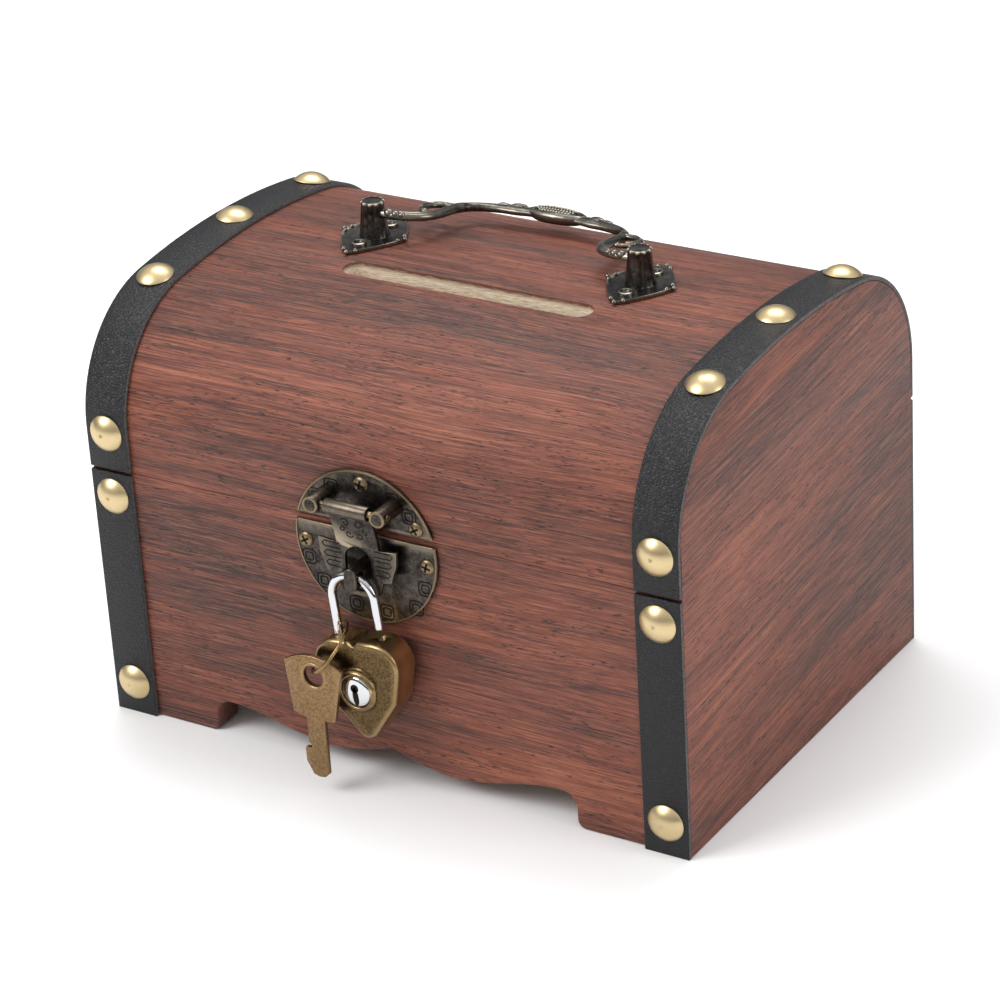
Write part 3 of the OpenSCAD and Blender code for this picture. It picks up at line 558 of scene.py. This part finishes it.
def screw_middles(node):
    """The middle of each screw in a node, from left to right, found by walking over the edges
    of each shell."""
    bm = cad_copy(node)
    left = set(bm.verts)
    middles = []
    while left:
        shell, front = set(), [left.pop()]
        while front:
            vert = front.pop()
            shell.add(vert)
            near = {e.other_vert(vert) for e in vert.link_edges} & left
            left -= near
            front += near
        sides = [[v.co[i] for v in shell] for i in range(3)]
        middles.append([(min(side) + max(side)) / 2 for side in sides])
    bm.free()
    return sorted(middles)


def cross_screws(node, face_y):
    """Pan-head screws, each with a dark cross turned its own way: the cross is painted shade standing for
    the cross slot.
    """
    bm = bmesh.new()
    profile = [(0, 0.62), (0.9, 0.6), (1.35, 0.45), (1.65, 0.2), (1.75, 0), (1.75, -0.1),
               (0.9, -0.1), (0.9, -3), (0, -3.4)]
    stand = FRONT.to_track_quat("Z", "Y").to_matrix().to_4x4()
    arm_size = Matrix.Diagonal((2.1 * MM, 0.5 * MM, 0.2 * MM, 1))
    for count, (x, _, z) in enumerate(screw_middles(node)):
        spot = Matrix.Translation((x, face_y, z)) @ stand @ Matrix.Rotation(0.5 + 0.8 * count, 4, "Z")
        lathe(bm, profile, spot, 32)
        for turn in (0, math.radians(90)):
            arm = bmesh.new()
            bmesh.ops.create_cube(arm, size=1, matrix=Matrix.Rotation(turn, 4, "Z") @ arm_size)
            soften(arm, 0.05)
            # painted shade: the dark cross stands for the shade in the screw's cross slot
            paint(arm, 1)
            add_part(bm, arm, spot @ Matrix.Translation((0, 0, 0.57 * MM)))
    stand_in(node, bm, [PIN_BRASS, PATINA_AND_PAINTED_SHADE], 40)


def lock_plates():
    """The two halves of the lock disc, with stamped marks at (x, z) millimetres from its middle."""
    low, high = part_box("lock_plate")
    radius = (high.x - low.x) / 2
    disc_z = low.z + radius
    face_y = low.y
    marks = {"lock_plate": [(-14.5, -5.2), (-11.2, -10.2), (14.2, -6.6), (11.6, -11.6),
                            (-3.4, -13.8), (4.2, -14.2)],
             "catch_plate": [(-7.5, 12.6), (7.6, 12.4), (11.4, 9.4), (-11.8, 9.6)]}
    for node, places in marks.items():
        bm = cad_copy(node)
        soften(bm, 0.2)
        rim_wire(bm, node, face_y, disc_z, radius - 0.35 * MM)
        for x, z in places:
            square_mark(bm, LOCK_X + x * MM, disc_z + z * MM, face_y)
        stand_in(node, bm, [GUNMETAL, PIN_BRASS, PATINA_AND_PAINTED_SHADE])
    for node in ("lock_plate_screws", "catch_plate_screws"):
        cross_screws(node, face_y)
    softened("staple", [GUNMETAL], 0.3, 3)


def hasp_posts():
    """Two posts with bright rims, and the pin between them that the hasp turns on."""
    low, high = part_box("hasp_posts")
    bm = cad_copy("hasp_posts")
    soften(bm, 0.25, 3)
    reach = (high.x - low.x) / 2
    radius = (high.z - low.z) / 2
    for side in (-1, 1):
        centre = Vector((LOCK_X + side * (reach - radius), low.y, (low.z + high.z) / 2))
        raised_ring(bm, centre, radius - 0.3 * MM, 0.26 * MM, 0.16 * MM, 1)
    stand_in("hasp_posts", bm, [GUNMETAL, PIN_BRASS])
    softened("hasp_pin", [PIN_BRASS], 0.1)


def hasp_flap():
    """The hasp, with stamped feathers on its wings and curls that follow its bent strap."""
    foot_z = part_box("hasp_flap")[0].z
    bm = cad_copy("hasp_flap")
    soften(bm, 0.18)
    front_y = min(v.co.y for v in bm.verts if v.co.z < foot_z + 3 * MM)
    half = 0.62 * MM
    for side in (-1, 1):
        for step in range(3):
            z = foot_z + (10.7 - step * 2.15) * MM
            root = LOCK_X + side * 4.3 * MM
            tip = LOCK_X + side * (8.7 - 0.4 * step) * MM
            bend = tip - side * half
            feather = [(root, z + half), (bend, z + half), (tip, z), (bend, z - half), (root, z - half)]
            line = [Vector((x, front_y, height)) for x, height in feather]
            sweep(bm, line, 0.15 * MM, 0.08 * MM, FRONT, sides=6, index=1)
    solid = BVHTree.FromBMesh(bm)
    # Each curl: its middle beside and above the foot, its size, and the angle it starts at.
    curls = ((1.7, 17.2, 1.15, 20), (1.3, 14.4, 0.95, 200), (2.9, 15.5, 0.8, 90))
    for side in (-1, 1):
        for out, rise, size, start in curls:
            line = []
            for step in range(15):
                a = math.radians(start + step * 26)
                reach = size * (1 - step / 19) * MM
                x = LOCK_X + side * (out * MM + reach * math.cos(a))
                z = foot_z + rise * MM + reach * math.sin(a)
                hit = solid.ray_cast(Vector((x, -0.2, z)), BACK)[0]
                if hit:
                    line.append(hit)
            if len(line) > 2:
                sweep(bm, line, 0.17 * MM, 0.09 * MM, FRONT, sides=6, index=1)
    stand_in("hasp_flap", bm, [GUNMETAL, PATINA_AND_PAINTED_SHADE])


def rear_hinges():
    """Leaves, pins and screws, which keep the CAD shapes with their edges rounded."""
    for node in frame["nodes"]:
        if node.startswith("hinge"):
            softened(node, [GUNMETAL], 0.15)


# ---- the carry handle ----

def on_crown(y):
    """Height of the lid's crown at y."""
    return CROWN_Z - CROWN_R + math.sqrt(CROWN_R ** 2 - (y - MID_Y) ** 2)


def handle_post(side):
    """A fluted post with a petalled top on a lozenge plate with cast beads at its corners."""
    node = "handle_post_left" if side < 0 else "handle_post_right"
    low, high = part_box(node)
    centre = (low + high) / 2
    half_w, half_l = (high.x - low.x) / 2, (high.y - low.y) / 2
    bm = bmesh.new()
    outline = []
    for step in range(24):
        a = math.radians(step * 15)
        # The lozenge's sides are hollow between its four tips.
        reach = 0.93 - 0.17 * abs(math.sin(2 * a))
        x = centre.x + half_w * reach * math.cos(a)
        y = centre.y + half_l * reach * math.sin(a)
        outline.append(bm.verts.new((x, y, 0)))
    top = bm.faces.new(outline)
    made = bmesh.ops.extrude_face_region(bm, geom=[top])["geom"]
    raised = [g for g in made if isinstance(g, bmesh.types.BMFace)][0]
    bmesh.ops.translate(bm, verts=raised.verts[:], vec=UP * MM)
    bmesh.ops.inset_region(bm, faces=[raised], thickness=0.75 * MM, depth=0)
    bmesh.ops.translate(bm, verts=raised.verts[:], vec=UP * -0.3 * MM)
    soften(bm, 0.14, 2, 25)
    tip_w, tip_l = 0.94 * half_w, 0.94 * half_l
    for end in (-1, 1):
        places = [(end * tip_w, 0), (0, end * tip_l)]
        for s in (-1, 1):
            places += [(end * (tip_w - 1.0 * MM), s * 1.3 * MM), (s * 1.5 * MM, end * (tip_l - 1.3 * MM))]
        for dx, dy in places:
            bead(bm, (centre.x + dx, centre.y + dy, 0.75 * MM), 0.58 * MM)
    for vert in bm.verts:
        vert.co.z += on_crown(vert.co.y)
    part = bmesh.new()
    foot_z = on_crown(centre.y) + 0.5 * MM
    rise = high.z - foot_z
    flutes = 10
    # Rings up the post: share of its height, radius in millimetres and share of the flutes' depth.
    rings = [(0.0, 3.4, 0.0), (0.08, 3.2, 0.5), (0.5, 2.85, 1.0), (0.88, 2.52, 1.0),
             (0.93, 2.62, 1.0), (0.97, 2.55, 1.0), (0.985, 2.2, 0.6)]
    last = None
    for share, radius, depth in rings:
        ring = bmesh.ops.create_circle(part, cap_ends=False, radius=radius * MM,
                                       segments=8 * flutes)["verts"]
        for vert in ring:
            a = math.atan2(vert.co.y, vert.co.x)
            # 1 on a flute's crest and 0 in the groove, which is 8.5% of the radius deep.
            crest = 0.5 + 0.5 * math.cos(flutes * a)
            vert.co *= 1 - 0.085 * depth * (1 - crest ** 0.5)
            vert.co.z = share * rise
        edges = ring_edges(ring)
        if last:
            bmesh.ops.bridge_loops(part, edges=last + edges)
        last = edges
    bmesh.ops.edgeloop_fill(part, edges=last)
    for step in range(flutes):
        a = math.tau * step / flutes
        petal = Vector((2.3 * math.cos(a), 2.3 * math.sin(a), -0.5)) * MM
        bead(part, petal + UP * rise, 0.42 * MM, rings=6)
    bead(part, (0, 0, rise * 0.96), 1.5 * MM, 0.12)
    add_part(bm, part, Matrix.Translation((PIVOT.x + side * abs(centre.x), PIVOT.y, foot_z)))
    stand_in(node, bm, [CASTING], 40)


def handle_screws():
    """Screws whose cupped heads have rims that catch the light."""
    bm = bmesh.new()
    profile = [(0, -0.05), (0.75, -0.05), (1.0, 0.3), (1.3, 0.5), (1.6, 0.35), (1.7, 0),
               (1.7, -0.3), (0.9, -0.5), (0.9, -4), (0, -4)]
    for x, y, _ in screw_middles("handle_screws"):
        lathe(bm, profile, Matrix.Translation((x, y, on_crown(y) + 0.75 * MM)), 32)
    stand_in("handle_screws", bm, [CASTING], 40)


def bezier(points, count):
    """Points along a cubic curve with two ends and two handles, given as (x, y) millimetres."""
    a, b, c, d = (Vector((*point, 0)) * MM for point in points)
    shares = [i / count for i in range(count + 1)]
    return [a * (1 - t) ** 3 + b * 3 * t * (1 - t) ** 2 + c * 3 * t * t * (1 - t) + d * t ** 3
            for t in shares]


def ease(t, low, high):
    """Rises smoothly from 0 at low to 1 at high."""
    t = max(0, min(1, (t - low) / (high - low)))
    return t * t * (3 - 2 * t)


def leaf_swell(t):
    """Where cast leaves thicken the bail's arm, at shares 0.5 and 0.84 of its length."""
    return sum(0.3 * math.exp(-((t - place) / 0.04) ** 2) for place in (0.5, 0.84))


def arm_width(t):
    """Half the width of the bail's arm, from its pivot to the middle of the grip."""
    shoulder = 0.35 * math.sin(math.pi * min(1, t * 2)) ** 2
    return (1.05 + shoulder + leaf_swell(t) + ease(t, 0.58, 0.86)) * MM


def arm_height(t):
    return (0.9 + 0.15 * math.sin(math.pi * t) + 0.4 * leaf_swell(t)) * MM


def curl_width(t):
    return (0.75 + 0.45 * math.sin(math.pi * t ** 1.6) - 0.25 * t) * MM


def curl_height(t):
    return (0.75 - 0.2 * t) * MM


def medallion():
    """An oval button with five rows of pearls."""
    bm = bmesh.new()
    profile = [(0, -1.4), (2.4, -1.3), (3.2, -0.4), (3.4, 0.3), (3.1, 0.95), (2.85, 1.15),
               (2.65, 0.95), (2.2, 1.25), (1.2, 1.7), (0, 1.85)]
    lathe(bm, profile, Matrix.Identity(4))
    bmesh.ops.scale(bm, vec=(2.25, 1, 1), verts=bm.verts[:])
    # Each row of pearls: its distance from the middle in millimetres, and how many.
    for row, count in ((-1.8, 11), (-0.95, 13), (0, 14), (1.8, 11), (0.95, 13)):
        for i in range(count):
            x = (i - (count - 1) / 2) * 0.72
            room = 1 - (x / 6.4) ** 2
            y = row * math.sqrt(max(0.1, room))
            z = (1.88 - 0.3 * abs(row)) * (0.7 + 0.3 * room)
            bead(bm, Vector((x, y, z)) * MM, 0.33 * MM, rings=4)
    return bm


def handle_bail():
    """The cast bail: slim arms with beads at the pivots, curled leaves at the knees, and an
    oval medallion in the middle of the grip."""
    reach = BAIL_REACH / MM
    bar_end = (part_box("handle_bail")[1].x - PIVOT.x) / MM - 1.7
    knee_x, knee_y = 20.5, reach - 5.4
    arm = [(bar_end, 0), (knee_x, -0.5), (knee_x + 0.5, 7), (knee_x + 0.5, knee_y - 3.5)]
    grip = [arm[3], (knee_x + 0.5, knee_y + 2.5), (12, reach), (0, reach)]
    curl = [(21.2, 14.6), (27.4, 15.4), (28.0, 8.6), (24.2, 6.6)]
    # Beads at the pivot, and flat leaves beside the grip: the places are in millimetres.
    pivot_beads = ((bar_end - 1.0, 1.25), (bar_end - 2.7, 1.05), (bar_end - 4.2, 0.85))
    grip_leaves = ((9.9, 0.5, 1.9, 0.8), (9.7, -0.9, 1.7, 0.7), (13.1, -0.9, 1.5, 0.75))
    bm = bmesh.new()
    for side in (-1, 1):
        mirror = Matrix.Diagonal((side, 1, 1))
        line = [mirror @ p for p in bezier(arm, 16)[:16] + bezier(grip, 20)]
        sweep(bm, line, arm_width, arm_height, UP, sides=14)
        ridge = [p + UP * 0.62 * MM for p in line[2:]]
        sweep(bm, ridge, 0.32 * MM, 0.42 * MM, UP, sides=8)
        pin = [RIGHT * side * (bar_end + along) * MM for along in (-0.5, 1.6)]
        sweep(bm, pin, 0.95 * MM, 0.95 * MM, UP, sides=20)
        for x, size in pivot_beads:
            bead(bm, Vector((side * x, -0.1, 0.45)) * MM, size * MM, 0.8)
        line = [mirror @ p + UP * 0.25 * MM for p in bezier(curl, 24)]
        sweep(bm, line, curl_width, curl_height, UP, sides=12)
        vein = [p + UP * 0.55 * MM for p in line[3:22]]
        sweep(bm, vein, 0.22 * MM, 0.3 * MM, UP, sides=8)
        bead(bm, Vector((side * 24.1, 6.5, 0.4)) * MM, 0.8 * MM, 0.8)
        for along, out, half_long, half_wide in grip_leaves:
            leaf = bmesh.ops.create_uvsphere(bm, u_segments=16, v_segments=8, radius=MM)["verts"]
            spot = Matrix.Translation(Vector((side * along, reach + out, 0.75)) * MM)
            shape = Matrix.Rotation(-side * 0.25, 4, "Z") @ Matrix.Diagonal((half_long, half_wide, 0.5, 1))
            bmesh.ops.transform(bm, matrix=spot @ shape, verts=leaf)
    add_part(bm, medallion(), Matrix.Translation(BACK * BAIL_REACH))
    dip = Matrix.Translation(PIVOT) @ Matrix.Rotation(BAIL_DIP, 4, "X")
    bmesh.ops.transform(bm, matrix=dip, verts=bm.verts)
    stand_in("handle_bail", bm, [CASTING], 50)


# ---- padlock, ring and key ----

def padlock_case():
    """The cast case: its front edge rounded over, and a raised conical boss round the plug."""
    back_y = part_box("padlock_cover")[1].y
    face_y = PLUG.y - CASE_T / 2
    boss_r = 4.2 * MM
    bm = cad_copy("padlock_front")
    for vert in bm.verts:
        spoke = vert.co - Vector((PLUG.x, vert.co.y, PLUG.z))
        if vert.co.y < face_y - 0.5 * MM and spoke.length > boss_r:
            vert.co -= spoke.normalized() * (spoke.length - boss_r)
    near = [v for v in bm.verts if abs(v.co.y - face_y) < 0.01 * MM]
    outline = [e for e in bm.edges if e.verts[0] in near and e.verts[1] in near
               and e.calc_face_angle(0) > 0.6 and (e.verts[0].co - PLUG).length > boss_r + MM]
    round_edges(bm, outline, 0.9, 5, True)
    boss = [e for e in bm.edges if max(v.co.y for v in e.verts) < face_y - 1 * MM
            and e.calc_face_angle(0) > 0.6]
    round_edges(bm, boss, 0.25, 3, True)
    stand_in("padlock_front", bm, [PAD_BRASS], 40)
    softened("padlock_cover", [PAD_BRASS], 0.3,
             where=lambda e: min(v.co.y for v in e.verts) > back_y - 0.1 * MM)
    carry("padlock_latch", PIN_BRASS)


def lock_plug():
    """The chromed plug: a shallow dome with a dark keyway, a narrow oval under a round one; the keyway is
    a dark slab of painted shade standing for the hole.
    """
    face = Vector((PLUG.x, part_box("padlock_plug")[0].y, PLUG.z))
    lie_flat = Matrix.Rotation(math.radians(90), 4, "X")
    bm = bmesh.new()
    profile = [(0, 0), (1.5, -0.03), (2.6, -0.12), (3.2, -0.3), (3.5, -0.6), (3.55, -1.0),
               (3.55, -5), (0, -5)]
    lathe(bm, profile, Matrix.Translation(face) @ lie_flat, 64)
    keyway = bmesh.new()
    for z, half_w, half_h in ((-0.9, 0.68, 2.2), (0.9, 0.95, 0.95)):
        spot = Matrix.Translation((0, 0, z * MM)) @ lie_flat @ Matrix.Diagonal((half_w, half_h, 1, 1))
        ring = bmesh.ops.create_circle(keyway, cap_ends=True, radius=MM, segments=24, matrix=spot)["verts"]
        disc = {f for v in ring for f in v.link_faces}.pop()
        made = bmesh.ops.extrude_face_region(keyway, geom=[disc])["geom"]
        raised = [g for g in made if isinstance(g, bmesh.types.BMVert)]
        bmesh.ops.translate(keyway, verts=raised, vec=FRONT * 0.25 * MM)
    # painted shade: the dark slab stands for the shade inside the keyway
    paint(keyway, 1)
    tilt = Matrix.Rotation(math.radians(-6), 4, "Y")
    add_part(bm, keyway, Matrix.Translation(face + BACK * 0.19 * MM) @ tilt)
    stand_in("padlock_plug", bm, [CHROME, PATINA_AND_PAINTED_SHADE], 40)


def shackle():
    """Chromed wire: a long leg notched for the latch, a half-round bow and a short leg whose
    tip is rounded."""
    line = [Vector((-LEG_X, 0, (0.2 * step - 7.2) * MM)) for step in range(36)]
    line += [Vector((-LEG_X, 0, z * MM)) for z in (1, 4, 7, 9)]
    line += arc_points(UP * 10 * MM, LEG_X, 180, 0, 49)
    line += [Vector((LEG_X, 0, z * MM)) for z in (9, 7, 5, 4.2, 3.9, 3.6, 3.4, 3.31, 3.3)]
    count = len(line) - 1
    # The wire's share of its radius at the short leg's last points.
    tip = {count: 0.3, count - 1: 0.55, count - 2: 0.75, count - 3: 0.9, count - 4: 0.98}

    def size(share):
        return WIRE_R * tip.get(round(share * count), 1)

    bm = bmesh.new()
    sweep(bm, line, size, size, FRONT, sides=24)
    # The notch is drawn where the plug is once the case has been pushed up.
    for vert in bm.verts:
        rise = abs(vert.co.z - CLOSE_TRAVEL + PLUG_DROP)
        if vert.co.x < 0 and rise < LATCH_ROOM:
            vert.co.x = min(vert.co.x, -math.sqrt(LATCH_ROOM ** 2 - rise ** 2))
    bmesh.ops.transform(bm, matrix=PAD, verts=bm.verts)
    stand_in("padlock_shackle", bm, [CHROME], 60)


def key_ring():
    """A split ring: nearly two turns of flat-sided brass wire, side by side."""
    radius, turns, steps = 6.3 * MM, 1.92, 144
    across = RING_AXIS.cross(UP).normalized()
    along = RING_AXIS.cross(across)
    line = []
    for i in range(steps + 1):
        a = math.tau * turns * i / steps
        step_over = (i / steps - 0.5) * 0.6 * MM
        out = across * math.cos(a) + along * math.sin(a)
        line.append(RING + out * radius + RING_AXIS * step_over)
    bm = bmesh.new()
    sweep(bm, line, 0.36 * MM, 0.21 * MM, RING_AXIS, sides=10)
    stand_in("key_ring", bm, [RING_BRASS], 60)


def key():
    """The tumbled brass key, with a raised rim round its hole, which is a little under the
    point that the key swings on."""
    bm = cad_copy("padlock_key")
    soften(bm, 0.22, 3)
    hole = Vector(JOINTS["key_swing"]["pos_m"]) - UP * 0.8 * MM
    hole.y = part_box("padlock_key")[0].y + 0.04 * MM
    raised_ring(bm, hole, 2.85 * MM, 0.34 * MM, 0.14 * MM)
    stand_in("padlock_key", bm, [KEY_BRASS], 40)


# ---- floor, light and camera ----

def floor():
    """White paper under the box."""
    bm = bmesh.new()
    bmesh.ops.create_grid(bm, x_segments=1, y_segments=1, size=4)
    mesh = bpy.data.meshes.new("floor")
    bm.to_mesh(mesh)
    bm.free()
    paper, _, shader, _ = new_material("matt white paper", 0.9)
    shader.inputs["Base Color"].default_value = (0.92, 0.92, 0.92, 1)
    mesh.materials.append(paper)
    plane = bpy.data.objects.new("floor", mesh)
    bpy.context.scene.collection.objects.link(plane)


def softbox(name, place, size, power):
    """A rectangular lamp that faces the middle of the box."""
    light = bpy.data.lights.new(name, "AREA")
    light.shape = "RECTANGLE"
    light.size, light.size_y = size
    light.energy = power
    holder = bpy.data.objects.new(name, light)
    holder.location = place
    holder.rotation_euler = (UP * 50 * MM - Vector(place)).to_track_quat("-Z", "Y").to_euler()
    bpy.context.scene.collection.objects.link(holder)


def studio():
    """A white room with a dark band round it, and three softboxes."""
    world = bpy.data.worlds.new("studio")
    bpy.context.scene.world = world
    world.use_nodes = True
    tree = world.node_tree
    ahead = add(tree, "ShaderNodeTexCoord").outputs["Generated"]
    height = add(tree, "ShaderNodeSeparateXYZ", {"Vector": ahead})
    room = ramp(tree, between(tree, height.outputs["Z"], -0.2, 1.0), [
        (0.0, "#a8a8aa"), (0.16, "#3c3c3e"), (0.3, "#505052"), (0.5, "#d6d6d8"), (1.0, "#ffffff")])
    tree.links.new(room, tree.nodes["Background"].inputs["Color"])
    tree.nodes["Background"].inputs["Strength"].default_value = 0.9
    softbox("key_softbox", (-0.75, -1.0, 1.15), (0.8, 0.8), 16)
    softbox("side_softbox", (1.2, 0.05, 0.6), (0.5, 0.7), 5)
    softbox("top_softbox", (-0.2, 0.5, 1.3), (0.9, 0.5), 9)
    bpy.context.scene.view_settings.view_transform = "Standard"


def camera():
    """Stands to the right in front of the box and looks a little down on it."""
    azimuth, elevation, roll = (math.radians(a) for a in (33.05, 26.27, -3.56))
    distance, lens, aim_right, aim_up = 0.7861, 129.9, -1.41 * MM, -6.25 * MM
    level = Vector((-math.sin(azimuth), math.cos(azimuth), 0))
    ahead = level * math.cos(elevation) - UP * math.sin(elevation)
    right = Vector((math.cos(azimuth), math.sin(azimuth), 0))
    up = right.cross(ahead)
    right, up = (right * math.cos(roll) + up * math.sin(roll),
                 up * math.cos(roll) - right * math.sin(roll))
    place = Vector((0, MID_Y, 0.05)) - ahead * distance + right * aim_right + up * aim_up
    view = bpy.data.objects.new("camera", bpy.data.cameras.new("camera"))
    view.data.lens = lens
    view.data.sensor_width = 36
    view.matrix_world = Matrix.Translation(place) @ Matrix((right, up, -ahead)).transposed().to_4x4()
    bpy.context.scene.collection.objects.link(view)
    bpy.context.scene.camera = view


camera()
wooden_boards()
straps_and_studs()
lock_plates()
hasp_posts()
hasp_flap()
rear_hinges()
handle_post(-1)
handle_post(1)
handle_screws()
handle_bail()
padlock_case()
lock_plug()
shackle()
key_ring()
key()
floor()
studio()
